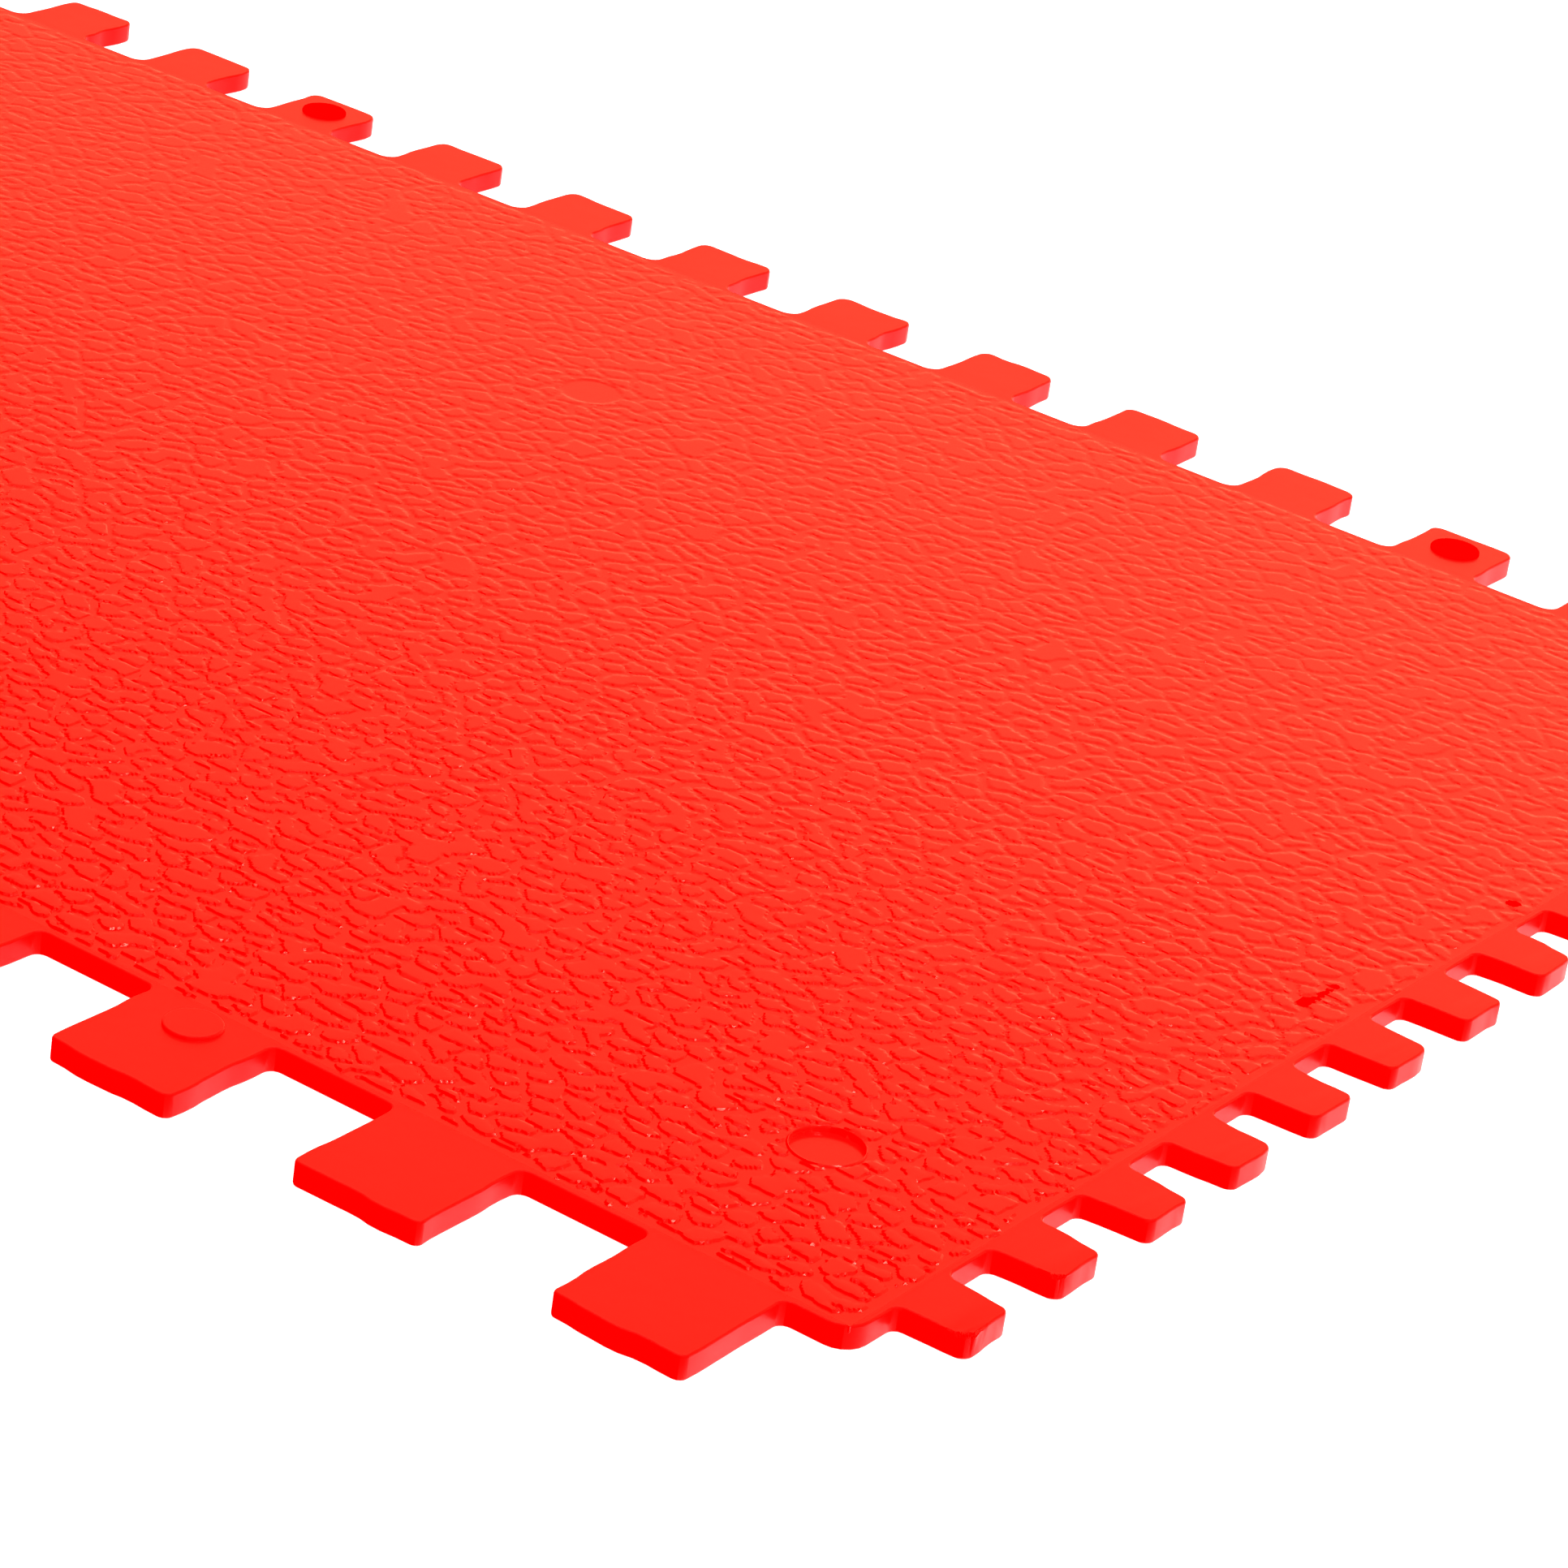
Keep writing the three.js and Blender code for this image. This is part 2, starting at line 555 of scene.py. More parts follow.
    def _chip_tip(self, bm: BMesh, comb: Comb, index: int, size: float) -> None:
        """Chips the upper edge of a tooth that has been knocked, at its front corner."""
        along, outward = comb.side.along, comb.side.outward
        corner = comb.centres[index] + outward * comb.depth - along * (comb.tip_width / 2)
        self._cut_top(bm, corner - outward * size, outward)
        close = [edge for edge in bm.edges if self._is_chipped(edge, corner, size)]
        bmesh.ops.subdivide_edges(bm, edges=close, cuts=self.chip_cuts, use_grid_fill=True)
        rng = np.random.default_rng(self.chip_seed)
        for vert in bm.verts:
            away = (Vector((vert.co.x, vert.co.y, 0.0)) - corner).length
            if away < size and vert.co.z > self.panel.top - self.chip_band:
                share = 1.0 - away / size
                vert.co += (along - outward).normalized() * rng.uniform(0.0, self.chip_depth * share)
                vert.co.z -= rng.uniform(0.0, self.chip_depth * share)

    def _is_chipped(self, edge: BMEdge, corner: Vector, size: float) -> bool:
        """Whether an upper edge lies within a chip."""
        near = [(Vector((vert.co.x, vert.co.y, 0.0)) - corner).length < size for vert in edge.verts]
        high = [vert.co.z > self.panel.top - self.chip_band for vert in edge.verts]
        return all(near) and all(high)

    def _top_faces(self, bm: BMesh) -> list[BMFace]:
        """The faces that lie in the upper plane."""
        top = self.panel.top
        return [face for face in bm.faces if all(abs(vert.co.z - top) < TOUCH for vert in face.verts)]

    def _cut_top(self, bm: BMesh, point: Vector, normal: Vector) -> None:
        """Cuts the upper plane's faces in two along a plane."""
        faces = self._top_faces(bm)
        edges = {edge for face in faces for edge in face.edges}
        verts = {vert for face in faces for vert in face.verts}
        geom = [*faces, *edges, *verts]
        bmesh.ops.bisect_plane(bm, geom=geom, dist=TOUCH, plane_co=point, plane_no=normal)

    def _sink_pocket(self, bm: BMesh) -> None:
        """Sinks the rectangle that the grained skin lies in."""
        low, high, margin = self.panel.low, self.panel.high, self.pocket_margin
        planes = [
            (Vector((low.x + margin, 0.0, 0.0)), Vector((1.0, 0.0, 0.0))),
            (Vector((high.x - margin, 0.0, 0.0)), Vector((1.0, 0.0, 0.0))),
            (Vector((0.0, low.y + margin, 0.0)), Vector((0.0, 1.0, 0.0))),
            (Vector((0.0, high.y - margin, 0.0)), Vector((0.0, 1.0, 0.0))),
        ]
        for point, normal in planes:
            self._cut_top(bm, point, normal)
        middle = max(self._top_faces(bm), key=lambda face: face.calc_area())
        sunk = bmesh.ops.extrude_discrete_faces(bm, faces=[middle])["faces"]
        bmesh.ops.translate(bm, verts=list(sunk[0].verts), vec=(0.0, 0.0, -self.pocket_depth))

    def _raise_marks(self, bm: BMesh, comb: Comb) -> None:
        """Raises the round ejector marks on a comb's marked teeth."""
        for index in comb.marked:
            spot = comb.centres[index] + comb.side.outward * comb.mark_reach
            place = Matrix.Translation((spot.x, spot.y, self.panel.top))
            made = bmesh.ops.create_cone(
                bm,
                cap_ends=True,
                cap_tris=False,
                segments=self.mark_sides,
                radius1=self.mark_radius,
                radius2=self.mark_radius,
                depth=2 * self.mark_rise,
                matrix=place,
            )["verts"]
            lid_verts = {vert for vert in made if vert.co.z > self.panel.top}
            # Marks on such a comb take the painted-shade slot.
            for face in {face for vert in made for face in vert.link_faces}:
                face.material_index = int(comb.mark_is_darkened)
            rim = [edge for edge in bm.edges if set(edge.verts) <= lid_verts]
            bevel(bm, rim, self.mark_rim, self.rim_segments, "EDGES")


class SwellField:
    """Smooth random swells over the plane, from a seeded lattice of heights."""

    LAST_CELL = 1.001

    def __init__(self, wavelength: float, extent: tuple[Vector, Vector], seed: int) -> None:
        """Draws the lattice.

        Args:
            wavelength: The lattice's spacing, in metres.
            extent: The lowest and highest corner of the ground that it covers.
            seed: The seed of its heights.
        """
        self.wavelength = wavelength
        self.origin = extent[0]
        size = extent[1] - extent[0]
        columns = int(size.x / wavelength) + 3
        rows = int(size.y / wavelength) + 3
        self.heights = np.random.default_rng(seed).uniform(-1.0, 1.0, (columns, rows))

    def at(self, x: np.ndarray, y: np.ndarray) -> np.ndarray:
        """The swell's height at each place, from -1 to 1."""
        last_column, last_row = (count - self.LAST_CELL for count in self.heights.shape)
        across = np.clip((x - self.origin.x) / self.wavelength, 0, last_column)
        up = np.clip((y - self.origin.y) / self.wavelength, 0, last_row)
        column, row = across.astype(int), up.astype(int)
        u, v = self._ease(across - column), self._ease(up - row)
        low = self.heights[column, row] * (1 - u) + self.heights[column + 1, row] * u
        high = self.heights[column, row + 1] * (1 - u) + self.heights[column + 1, row + 1] * u
        return low * (1 - v) + high * v

    @staticmethod
    def _ease(t: np.ndarray) -> np.ndarray:
        """Eases between lattice points."""
        return t * t * (3 - 2 * t)


@dataclass
class JitteredLattice:
    """Points in staggered rows, each moved a little at random from its place.

    Attributes:
        extent: The lowest and highest corner of the ground that it covers.
        pitch: The spacing along the length and across it.
        jitter: How far a point strays both ways, as a share of the pitch.
        seed: The seed of the strays.
        reach: How many cells round a place are looked at.
    """

    extent: tuple[Vector, Vector]
    pitch: tuple[float, float]
    jitter: tuple[float, float]
    seed: int
    reach: int = 2

    def __post_init__(self) -> None:
        """Draws the strays."""
        size = self.extent[1] - self.extent[0]
        pad = 2 * self.reach + 3
        self.counts = (int(size.x / self.pitch[0]) + pad, int(size.y / self.pitch[1]) + pad)
        self.strays = np.random.default_rng(self.seed).uniform(-1.0, 1.0, (2, *self.counts))

    def around(self, x: np.ndarray, y: np.ndarray) -> Iterable[tuple[np.ndarray, np.ndarray]]:
        """Yields the points in the cells round each place, one point for each place at a time."""
        column = np.floor((x - self.extent[0].x) / self.pitch[0]).astype(int)
        row = np.floor((y - self.extent[0].y) / self.pitch[1]).astype(int)
        steps = range(-self.reach, self.reach + 1)
        for i in steps:
            for j in steps:
                yield self._point(column + i, row + j)

    def _point(self, column: np.ndarray, row: np.ndarray) -> tuple[np.ndarray, np.ndarray]:
        """The point of a cell, with every second row moved by half a pitch."""
        i = np.clip(column + self.reach, 0, self.counts[0] - 1)
        j = np.clip(row + self.reach, 0, self.counts[1] - 1)
        across = column + 0.5 + 0.5 * (row % 2) + self.jitter[0] * self.strays[0][i, j]
        up = row + 0.5 + self.jitter[1] * self.strays[1][i, j]
        return self.extent[0].x + across * self.pitch[0], self.extent[0].y + up * self.pitch[1]

    def nearest(self, x: np.ndarray, y: np.ndarray) -> tuple[np.ndarray, np.ndarray]:
        """The point that is nearest to each place."""
        best = np.full(x.shape, np.inf)
        own_x, own_y = np.zeros_like(x), np.zeros_like(y)
        for point_x, point_y in self.around(x, y):
            gap = (point_x - x) ** 2 + (point_y - y) ** 2
            closer = gap < best
            best = np.where(closer, gap, best)
            own_x = np.where(closer, point_x, own_x)
            own_y = np.where(closer, point_y, own_y)
        return own_x, own_y


@dataclass
class PebbleGrain:
    """Where the pebbles of the grain lie: flat-topped islands parted by channels.

    Each pebble grows round one point of a jittered lattice, and ends a channel's half width from
    the border with its neighbour. Some neighbours have no channel between them and run together.
    Small specks lie in the channels.
    """

    NOTHING = 1e-30
    HASH_WAVES = (127100.0, 311700.0)
    HASH_STRETCH = 43758.5453

    extent: tuple[Vector, Vector]
    pitch: tuple[float, float] = (2.25 * MM, 1.2 * MM)
    jitter: tuple[float, float] = (0.42, 0.36)
    flatness: float = 1.6
    channel: float = 0.17 * MM
    channel_spread: float = 0.6
    joined_share: float = 0.1
    shrink: float = 0.22 * MM
    softness: float = 0.08 * MM
    bend: tuple[float, float] = (0.2 * MM, 0.24 * MM)
    bend_length: float = 1.1 * MM
    scallop: tuple[float, float] = (0.04 * MM, 0.09 * MM)
    scallop_length: float = 0.5 * MM
    speck_pitch: tuple[float, float] = (0.9 * MM, 0.8 * MM)
    speck_jitter: tuple[float, float] = (0.45, 0.45)
    speck_radius: float = 0.2 * MM
    seed: int = 7

    def __post_init__(self) -> None:
        """Draws the lattices, and the swells that bend the outlines."""
        drawn_out = tuple(Vector((end.x, end.y * self.flatness, 0.0)) for end in self.extent)
        pitch = (self.pitch[0], self.pitch[1] * self.flatness)
        self.pebbles = JitteredLattice(drawn_out, pitch, self.jitter, self.seed)
        self.specks = JitteredLattice(
            self.extent, self.speck_pitch, self.speck_jitter, self.seed + 1, reach=1
        )
        self.bends = [SwellField(self.bend_length, self.extent, self.seed + k) for k in (2, 3)]
        self.scallops = [SwellField(self.scallop_length, self.extent, self.seed + k) for k in (4, 5)]

    def inside(self, x: np.ndarray, y: np.ndarray) -> np.ndarray:
        """How far inside a pebble or a speck each place is.

        Args:
            x: Places along the length.
            y: Places along the width.

        Returns:
            Metres to the pebble's foot, negative in a channel.
        """
        bent_x = x + self.bend[0] * self.bends[0].at(x, y) + self.scallop[0] * self.scallops[0].at(x, y)
        bent_y = y + self.bend[1] * self.bends[1].at(x, y) + self.scallop[1] * self.scallops[1].at(x, y)
        pebble = self._inside_pebble(bent_x, bent_y * self.flatness)
        return np.maximum(pebble, self._inside_speck(bent_x, bent_y))

    def _inside_pebble(self, x: np.ndarray, y: np.ndarray) -> np.ndarray:
        """How far each place is inside its pebble, softly over all the borders with neighbours.

        The width is drawn out beforehand, so that the pebbles come out low and long.
        """
        own_x, own_y = self.pebbles.nearest(x, y)
        shrunk = self.shrink * self._chance(own_x, own_y) ** 2
        total = np.full(x.shape, self.NOTHING)
        for point_x, point_y in self.pebbles.around(x, y):
            step_x, step_y = point_x - own_x, point_y - own_y
            length = np.hypot(step_x, step_y)
            apart = length > TOUCH
            length = np.where(apart, length, 1.0)
            mid_x, mid_y = (point_x + own_x) / 2, (point_y + own_y) / 2
            border = ((mid_x - x) * step_x + (mid_y - y) * step_y) / length
            chance = self._chance(mid_x, mid_y)
            parted = apart & (chance > self.joined_share)
            width = self.channel * (1 + self.channel_spread * (2 * chance - 1 - self.joined_share))
            total += np.where(parted, np.exp((width + shrunk - border) / self.softness), 0.0)
        return -self.softness * np.log(total)

    def _inside_speck(self, x: np.ndarray, y: np.ndarray) -> np.ndarray:
        """How far each place is inside its nearest speck."""
        own_x, own_y = self.specks.nearest(x, y)
        radius = self.speck_radius * (2 * self._chance(own_x, own_y) - 1)
        return radius - np.hypot(x - own_x, y - own_y)

    @classmethod
    def _chance(cls, x: np.ndarray, y: np.ndarray) -> np.ndarray:
        """A number from 0 to 1 that belongs to a place, whoever asks for it."""
        mixed = np.sin(x * cls.HASH_WAVES[0] + y * cls.HASH_WAVES[1]) * cls.HASH_STRETCH
        return mixed - np.floor(mixed)


@dataclass
class Spot:
    """A place on the upper face, measured from the panel's right and front sides."""

    inward: float
    up: float

    def centre(self, panel: Panel) -> tuple[float, float]:
        """The place itself."""
        return panel.high.x - self.inward, panel.low.y + self.up

    def distance(self, panel: Panel, x: np.ndarray, y: np.ndarray) -> np.ndarray:
        """How far other places are from this one."""
        centre_x, centre_y = self.centre(panel)
        return np.hypot(x - centre_x, y - centre_y)


@dataclass
class PinMark(Spot):
    """A round mark sunk by an ejector pin."""

    radius: float = 2.0 * MM
    sink: float = 0.25 * MM
    collar: float = 0.32 * MM
    collar_rise: float = 0.02 * MM
    wall: float = 0.05 * MM


@dataclass
class Dent(Spot):
    """A small blemish in the grain."""

    radius: float
    sink: float = 0.16 * MM
    # How far beyond a dent's radius its painted shade reaches, to cover its walls.
    rim: float = 0.12 * MM


@dataclass
class PinCollar(Moulding):
    """The thin raised ring round an ejector mark, with the mark's clean round wall."""

    panel: Panel
    mark: PinMark
    rise: float = 0.12 * MM
    inset: float = 0.04 * MM
    lip: float = 0.05 * MM
    foot: float = 0.15 * MM
    sides: int = 128
    crease_deg: float = 50.0

    def build(self, name: str) -> bpy.types.Object:
        """Builds the ring.

        Args:
            name: The piece's name.

        Returns:
            The piece.
        """
        inner = self.mark.radius - self.inset
        bottom = -self.mark.sink - self.inset
        stations = [
            (inner, bottom),
            (inner, self.rise - self.lip / 2),
            (inner + self.lip / 2, self.rise),
            (inner + self.lip, self.rise),
            (inner + self.foot, 0.0),
            (inner + self.foot, bottom),
        ]
        bm = bmesh.new()
        bmesh.ops.create_circle(bm, cap_ends=False, segments=self.sides, radius=inner)
        bmesh.ops.translate(bm, vec=(0.0, 0.0, bottom), verts=bm.verts[:])
        first = loop = bm.edges[:]
        for (radius, height), (next_radius, next_height) in pairwise(stations):
            drawn = bmesh.ops.extrude_edge_only(bm, edges=loop)["geom"]
            verts = only(drawn, BMVert)
            loop = [edge for edge in only(drawn, BMEdge) if edge.is_boundary]
            grow = next_radius / radius
            bmesh.ops.scale(bm, vec=(grow, grow, 1.0), verts=verts)
            bmesh.ops.translate(bm, vec=(0.0, 0.0, next_height - height), verts=verts)
        bmesh.ops.bridge_loops(bm, edges=[*first, *loop])
        centre = Vector((*self.mark.centre(self.panel), self.panel.top))
        bmesh.ops.translate(bm, vec=centre, verts=bm.verts[:])
        return self.finish(bm, name, Surface.GRAINED, self.crease_deg)


@dataclass
class GrainedSkin(Moulding):
    """The grained upper face, as a row of closed skins that lie in the plate's pocket."""

    panel: Panel
    marks: list[PinMark]
    dents: list[Dent]
    skins: int = 9
    columns_each: int = 145
    coarse_columns: int = 300
    coarse_length: float = 75.0 * MM
    rows: int = 619
    overlap: float = 0.05 * MM
    pocket_margin: float = 0.45 * MM
    lift: float = 0.003 * MM
    depth: float = 0.35 * MM
    pebble_height: float = 0.13 * MM
    far_share: float = 0.2
    flank: float = 0.06 * MM
    shoulder: float = 0.014 * MM
    shoulder_length: float = 0.08 * MM
    snap_zone: float = 0.1 * MM
    snap_reach: float = 0.26 * MM
    least_slope: float = 0.5
    side_margin: float = 0.75 * MM
    margin_stray: float = 0.35 * MM
    stray_length: float = 1.3 * MM
    corner_radius: float = 1.6 * MM
    swell: float = 0.005 * MM
    swell_length: float = 2.4 * MM
    stray_seed: int = 21
    swell_seed: int = 31
    crease_deg: float = 28.0

    def build(self) -> list[bpy.types.Object]:
        """Builds the skins.

        Returns:
            The pieces, from left to right.
        """
        x, y = self._lattice()
        moved_x, moved_y, height = self._shape(x, y)
        return [self._skin(index, moved_x, moved_y, height) for index in range(self.skins)]

    def _lattice(self) -> tuple[np.ndarray, np.ndarray]:
        """The even grid of places over the whole grained face."""
        edge = self.pocket_margin - self.overlap
        low, high = self.panel.low, self.panel.high
        columns = self.skins * self.columns_each
        stops = [low.x + edge, low.x + self.coarse_length, high.x - edge]
        along = np.interp(np.arange(columns + 1), [0, self.coarse_columns, columns], stops)
        across = np.linspace(low.y + edge, high.y - edge, self.rows + 1)
        return np.meshgrid(along, across, indexing="ij")

    def _shape(self, x: np.ndarray, y: np.ndarray) -> tuple[np.ndarray, np.ndarray, np.ndarray]:
        """Moves the grid's places onto the pebbles' edges and gives each its height."""
        extent = (self.panel.low, self.panel.high)
        grain = PebbleGrain(extent)
        strays = SwellField(self.stray_length, extent, self.stray_seed)
        straying = self.margin_stray * strays.at(x, y)
        inside = np.minimum(grain.inside(x, y), self._clear_of_margins(x, y) + straying)
        for mark in self.marks:
            clear = mark.distance(self.panel, x, y) - mark.radius - mark.collar
            inside = np.minimum(inside, clear)
        x, y, inside = self._snap(x, y, inside - self.flank / 2, self.flank / 2)
        shoulder = np.exp(-(inside - self.flank / 2) / self.shoulder_length)
        back = np.interp(y, [self.panel.low.y, self.panel.high.y], [0.0, 1.0])
        relief = self.far_share + (1.0 - self.far_share) * (1.0 - back) ** 2
        raised = relief * (self.pebble_height - self.shoulder * shoulder)
        swells = SwellField(self.swell_length, extent, self.swell_seed)
        height = np.where(inside > 0, raised, 0.0) + self.swell * self._fade(x, y) * swells.at(x, y)
        for mark in self.marks:
            x, y, height = self._sink(mark, x, y, height)
        for dent in self.dents:
            height = np.where(dent.distance(self.panel, x, y) < dent.radius, -dent.sink, height)
        return x, y, np.where(self._is_edge(x), 0.0, height) + self.lift

    def _fade(self, x: np.ndarray, y: np.ndarray) -> np.ndarray:
        """From 0 on the smooth margins to 1 on the grain."""
        return np.clip(self._clear_of_margins(x, y) / self.side_margin, 0.0, 1.0)

    def _clear_of_margins(self, x: np.ndarray, y: np.ndarray) -> np.ndarray:
        """How far each place is inside the rounded rectangle that the grain fills."""
        half = (self.panel.high - self.panel.low) / 2
        inset = self.side_margin + self.corner_radius
        over_x = np.abs(x - self.panel.centre.x) - (half.x - inset)
        over_y = np.abs(y - self.panel.centre.y) - (half.y - inset)
        outside = np.hypot(np.maximum(over_x, 0.0), np.maximum(over_y, 0.0))
        return self.corner_radius - outside - np.minimum(np.maximum(over_x, over_y), 0.0)

    def _snap(
        self, x: np.ndarray, y: np.ndarray, inside: np.ndarray, half_flank: float
    ) -> tuple[np.ndarray, np.ndarray, np.ndarray]:
        """Moves places near an edge onto one side or other of its flank."""
        slope_x, slope_y = np.gradient(inside, x[:, 0], y[0, :])
        slope = np.maximum(np.hypot(slope_x, slope_y), self.least_slope)
        away = inside / slope
        target = self._off_flank(away, half_flank)
        move = np.where(self._is_edge(x), 0.0, (target - away) / slope)
        return x + move * slope_x, y + move * slope_y, target

    def _off_flank(self, inside: np.ndarray, half_flank: float) -> np.ndarray:
        """How far inside the places near an edge belong, so that none is left on its flank."""
        away = np.abs(inside)
        stops = [self.snap_zone, self.snap_reach]
        target = np.interp(away, stops, [half_flank, self.snap_reach])
        target = np.where(away < self.snap_reach, target, away)
        return np.where(inside >= 0, target, -target)

    @staticmethod
    def _is_edge(x: np.ndarray) -> np.ndarray:
        """True along the outer edge of the grid."""
        edge = np.zeros(x.shape, bool)
        edge[[0, -1], :] = True
        edge[:, [0, -1]] = True
        return edge

    def _sink(
        self, mark: PinMark, x: np.ndarray, y: np.ndarray, height: np.ndarray
    ) -> tuple[np.ndarray, np.ndarray, np.ndarray]:
        """Sinks one ejector mark and raises its collar."""
        centre_x, centre_y = mark.centre(self.panel)
        away = np.maximum(np.hypot(x - centre_x, y - centre_y), TOUCH)
        beyond = away - mark.radius
        target = self._off_flank(beyond, mark.wall / 2)
        stretch = (mark.radius + target) / away
        x = centre_x + (x - centre_x) * stretch
        y = centre_y + (y - centre_y) * stretch
        beyond = target
        ring = (beyond > 0) & (beyond < mark.collar)
        height = np.where(ring, mark.collar_rise * np.sin(np.pi * beyond / mark.collar), height)
        return x, y, np.where(beyond < 0, -mark.sink, height)

    def _skin(
        self, index: int, x: np.ndarray, y: np.ndarray, height: np.ndarray
    ) -> bpy.types.Object:
        """Builds one closed skin, counted from the left, out of the whole face's places."""
        first = index * self.columns_each
        part = slice(first, first + self.columns_each + 1)
        bm = bmesh.new()
        bmesh.ops.create_grid(bm, x_segments=self.columns_each, y_segments=self.rows, size=0.5)
        self._drape(bm, x[part], y[part], height[part])
        bmesh.ops.triangulate(bm, faces=bm.faces[:], quad_method="SHORT_EDGE")
        self._close(bm)
        piece = self.finish(bm, f"grained_skin_{index + 1}", Surface.GRAINED, self.crease_deg)
        self._paint_shade_in_dents(piece.data)
        return piece

    def _paint_shade_in_dents(self, mesh: bpy.types.Mesh) -> None:
        """Paints shade in the dents and over their walls: a deeper red with no reflection."""
        count = len(mesh.polygons)
        centres, painted_shade_slots = np.empty(3 * count), np.empty(count, np.int32)
        mesh.polygons.foreach_get("center", centres)
        mesh.polygons.foreach_get("material_index", painted_shade_slots)
        x, y = centres[0::3], centres[1::3]
        for dent in self.dents:
            painted_shade_slots |= dent.distance(self.panel, x, y) < dent.radius + dent.rim
        mesh.polygons.foreach_set("material_index", painted_shade_slots)

    def _drape(self, bm: BMesh, x: np.ndarray, y: np.ndarray, height: np.ndarray) -> None:
        """Moves a unit grid's vertices to their places."""
        columns, rows = x.shape
        for vert in bm.verts:
            i = round((vert.co.x + 0.5) * (columns - 1))
            j = round((vert.co.y + 0.5) * (rows - 1))
            vert.co = (x[i, j], y[i, j], self.panel.top + height[i, j])

    def _close(self, bm: BMesh) -> None:
        """Draws the open edge down and closes it below."""
        rim = [edge for edge in bm.edges if edge.is_boundary]
        drawn = bmesh.ops.extrude_edge_only(bm, edges=rim)["geom"]
        for vert in only(drawn, BMVert):
            vert.co.z = self.panel.top - self.depth
        lower = [edge for edge in only(drawn, BMEdge) if edge.is_boundary]
        bmesh.ops.contextual_create(bm, geom=lower)


@dataclass(frozen=True)
class Softbox:
    """A softbox that faces the spreader.

    Attributes:
        name: Its name.
        place: Where it hangs, in metres.
        width: Its width.
        height: Its height.
        power: Its power in watts.
        is_seen: Whether the spreader's skin mirrors it.
    """

    name: str
    place: tuple[float, float, float]
    width: float
    height: float
    power: float
    is_seen: bool = False

    def hang(self) -> None:
        """Hangs the softbox."""
        light = bpy.data.lights.new(self.name, "AREA")
        light.shape = "RECTANGLE"
        light.size = self.width
        light.size_y = self.height
        light.energy = self.power
        lamp = bpy.data.objects.new(self.name, light)
        lamp.location = self.place
        lamp.rotation_euler = Vector(self.place).to_track_quat("Z", "Y").to_euler()
        lamp.visible_glossy = self.is_seen
        bpy.context.scene.collection.objects.link(lamp)


SOFTBOXES = (
    Softbox("overhead_softbox", place=(0.1, 0.0, 1.6), width=1.8, height=1.8, power=75.0),
    Softbox("front_softbox", place=(0.3, -1.2, 0.5), width=0.9, height=0.9, power=14.0),
    Softbox("edge_strip", place=(1.0, -0.32, 0.85), width=0.3, height=0.75, power=32.0, is_seen=True),
)


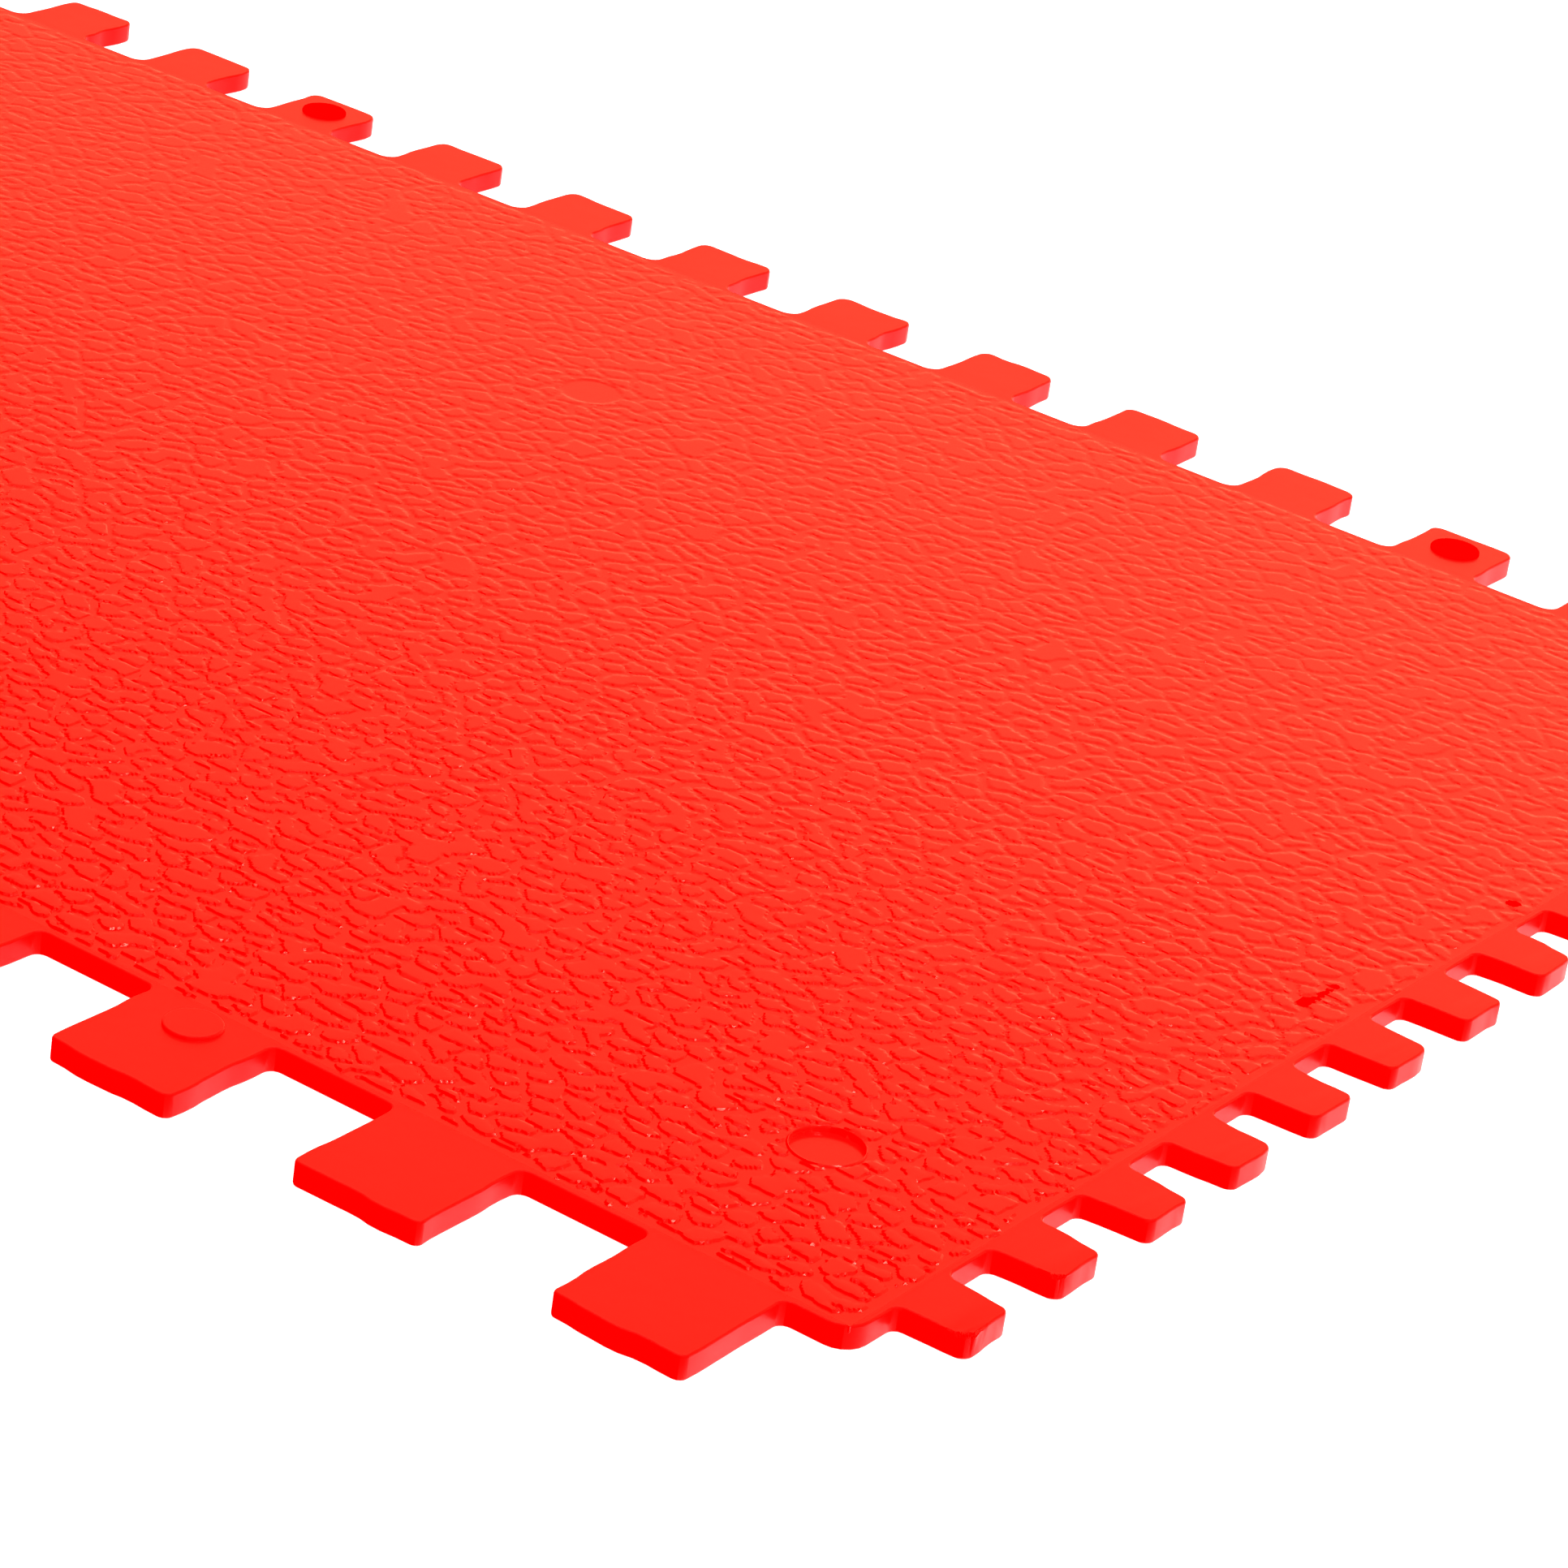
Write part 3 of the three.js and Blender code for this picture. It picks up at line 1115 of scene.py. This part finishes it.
@dataclass
class Studio:
    """A white table, soft light and the camera.

    Each grade of the sky holds two ends of a direction's component, then the strength at each.
    """

    panel: Panel
    table_size: float = 6.0
    table_colour: float = 0.3
    table_glow: float = 0.85
    table_roughness: float = 0.9
    sky: tuple[float, float, float] = (1.0, 0.97, 0.5)
    by_height: tuple[float, float, float, float] = (0.0, 0.75, 1.21, 0.7)
    by_side: tuple[float, float, float, float] = (-1.0, -0.3, 0.1, 1.01)
    by_depth: tuple[float, float, float, float] = (-0.3, 0.5, 0.35, 1.0)
    azimuth_deg: float = 32.576
    elevation_deg: float = 25.354
    roll_deg: float = 8.505
    distance: float = 316.7 * MM
    aim_inward: float = 37.4 * MM
    aim_up: float = 45.57 * MM
    lens_mm: float = 128.76
    sensor_mm: float = 36.0
    near_clip: float = 10.0 * MM

    def build(self) -> None:
        """Sets up the whole studio."""
        self._table()
        self._sky()
        for softbox in SOFTBOXES:
            softbox.hang()
        self._camera()
        scene = bpy.context.scene
        scene.view_settings.view_transform = "Standard"
        scene.view_settings.look = "None"

    def _table(self) -> None:
        """Lays the table that the spreader rests on."""
        bm = bmesh.new()
        bmesh.ops.create_grid(bm, x_segments=1, y_segments=1, size=self.table_size / 2)
        mesh = bpy.data.meshes.new("table")
        bm.to_mesh(mesh)
        bm.free()
        material = bpy.data.materials.new("white_table")
        material.use_nodes = True
        shader = material.node_tree.nodes["Principled BSDF"]
        shader.inputs["Base Color"].default_value = (*(self.table_colour,) * 3, 1.0)
        shader.inputs["Emission Color"].default_value = (1.0, 1.0, 1.0, 1.0)
        shader.inputs["Emission Strength"].default_value = self.table_glow
        shader.inputs["Roughness"].default_value = self.table_roughness
        shader.inputs["Specular IOR Level"].default_value = 0.0
        mesh.materials.append(material)
        table = bpy.data.objects.new("table", mesh)
        table.location.z = self.panel.low.z
        bpy.context.scene.collection.objects.link(table)

    def _sky(self) -> None:
        """Fills the room with soft warm light that is strongest low down at the back."""
        world = bpy.data.worlds.new("studio")
        bpy.context.scene.world = world
        world.use_nodes = True
        tree = world.node_tree
        background = tree.nodes["Background"]
        background.inputs["Color"].default_value = (*self.sky, 1.0)
        way = tree.nodes.new("ShaderNodeTexCoord").outputs["Generated"]
        parts = tree.nodes.new("ShaderNodeSeparateXYZ")
        tree.links.new(way, parts.inputs["Vector"])
        strength = self._grade(tree, parts.outputs["Z"], self.by_height)
        for axis, grade in (("X", self.by_side), ("Y", self.by_depth)):
            product = tree.nodes.new("ShaderNodeMath")
            product.operation = "MULTIPLY"
            tree.links.new(strength, product.inputs[0])
            tree.links.new(self._grade(tree, parts.outputs[axis], grade), product.inputs[1])
            strength = product.outputs["Value"]
        tree.links.new(strength, background.inputs["Strength"])

    @staticmethod
    def _grade(
        tree: NodeTree, value: NodeSocket, grade: tuple[float, float, float, float]
    ) -> NodeSocket:
        """Grades the sky along one direction, and keeps it even beyond both ends."""
        node = tree.nodes.new("ShaderNodeMapRange")
        for name, number in zip(("From Min", "From Max", "To Min", "To Max"), grade, strict=True):
            node.inputs[name].default_value = number
        tree.links.new(value, node.inputs["Value"])
        return node.outputs["Result"]

    def _camera(self) -> None:
        """Sets up the camera by its angles round the point that it looks at."""
        azimuth, elevation = math.radians(self.azimuth_deg), math.radians(self.elevation_deg)
        back = Vector(
            (
                math.sin(azimuth) * math.cos(elevation),
                -math.cos(azimuth) * math.cos(elevation),
                math.sin(elevation),
            )
        )
        aim = Vector(
            (self.panel.high.x - self.aim_inward, self.panel.low.y + self.aim_up, self.panel.top)
        )
        camera = bpy.data.cameras.new("camera")
        camera.lens = self.lens_mm
        camera.sensor_width = self.sensor_mm
        camera.clip_start = self.near_clip
        holder = bpy.data.objects.new("camera", camera)
        holder.location = aim + back * self.distance
        roll = Quaternion((0.0, 0.0, 1.0), math.radians(self.roll_deg))
        holder.rotation_mode = "QUATERNION"
        holder.rotation_quaternion = back.to_track_quat("Z", "Y") @ roll
        bpy.context.scene.collection.objects.link(holder)
        bpy.context.scene.camera = holder


def lay_out_combs() -> list[Comb]:
    """The three combs, coarse to fine."""
    coarse = Comb(
        Side.FRONT,
        "tooth_8mm",
        tip_width=8.0 * MM,
        root_fillet=0.6 * MM,
        tip_radius=0.5 * MM,
        marked=(2,),
        mark_reach=1.6 * MM,
    )
    medium = Comb(
        Side.BACK,
        "tooth_6mm",
        tip_width=6.0 * MM,
        root_fillet=0.9 * MM,
        tip_radius=0.8 * MM,
        marked=(2, 10),
        mark_reach=3.3 * MM,
        # The back comb's marks are painted dark with the painted-shade finish, which has no reflection.
        mark_is_darkened=True,
    )
    fine = Comb(
        Side.RIGHT,
        "tooth_4mm",
        tip_width=3.7 * MM,
        root_fillet=0.5 * MM,
        tip_radius=0.55 * MM,
        chipped=((0, 1.9 * MM), (1, 0.9 * MM)),
    )
    return [coarse, medium, fine]


def lay_out_dents() -> list[Dent]:
    """The short scratch beside the fine comb, and the nicks round it."""
    scratch_inward, scratch_radius = 3.1 * MM, 0.13 * MM
    scratch_ups = (47.6, 48.1, 48.5, 49.0, 49.6)
    scratch = [Dent(scratch_inward, up * MM, scratch_radius) for up in scratch_ups]
    nicks = [
        Dent(inward=3.3 * MM, up=46.5 * MM, radius=0.3 * MM),
        Dent(inward=3.25 * MM, up=47.0 * MM, radius=0.32 * MM),
        Dent(inward=1.6 * MM, up=66.75 * MM, radius=0.34 * MM),
    ]
    return scratch + nicks


def main() -> None:
    """Builds the spreader and its studio."""
    logging.basicConfig(level=logging.INFO, format="%(name)s: %(message)s")
    panel = Panel()
    SpreaderPlate(panel, lay_out_combs()).build()
    near_mark = PinMark(inward=11.25 * MM, up=13.55 * MM, collar=0.16 * MM)
    far_mark = PinMark(
        inward=80.6 * MM, up=83.0 * MM, sink=0.02 * MM, collar=0.12 * MM, collar_rise=0.01 * MM
    )
    GrainedSkin(panel, [near_mark, far_mark], lay_out_dents()).build()
    PinCollar(panel, near_mark).build("ejector_mark_collar")
    Studio(panel).build()


if __name__ == "__main__":
    main()
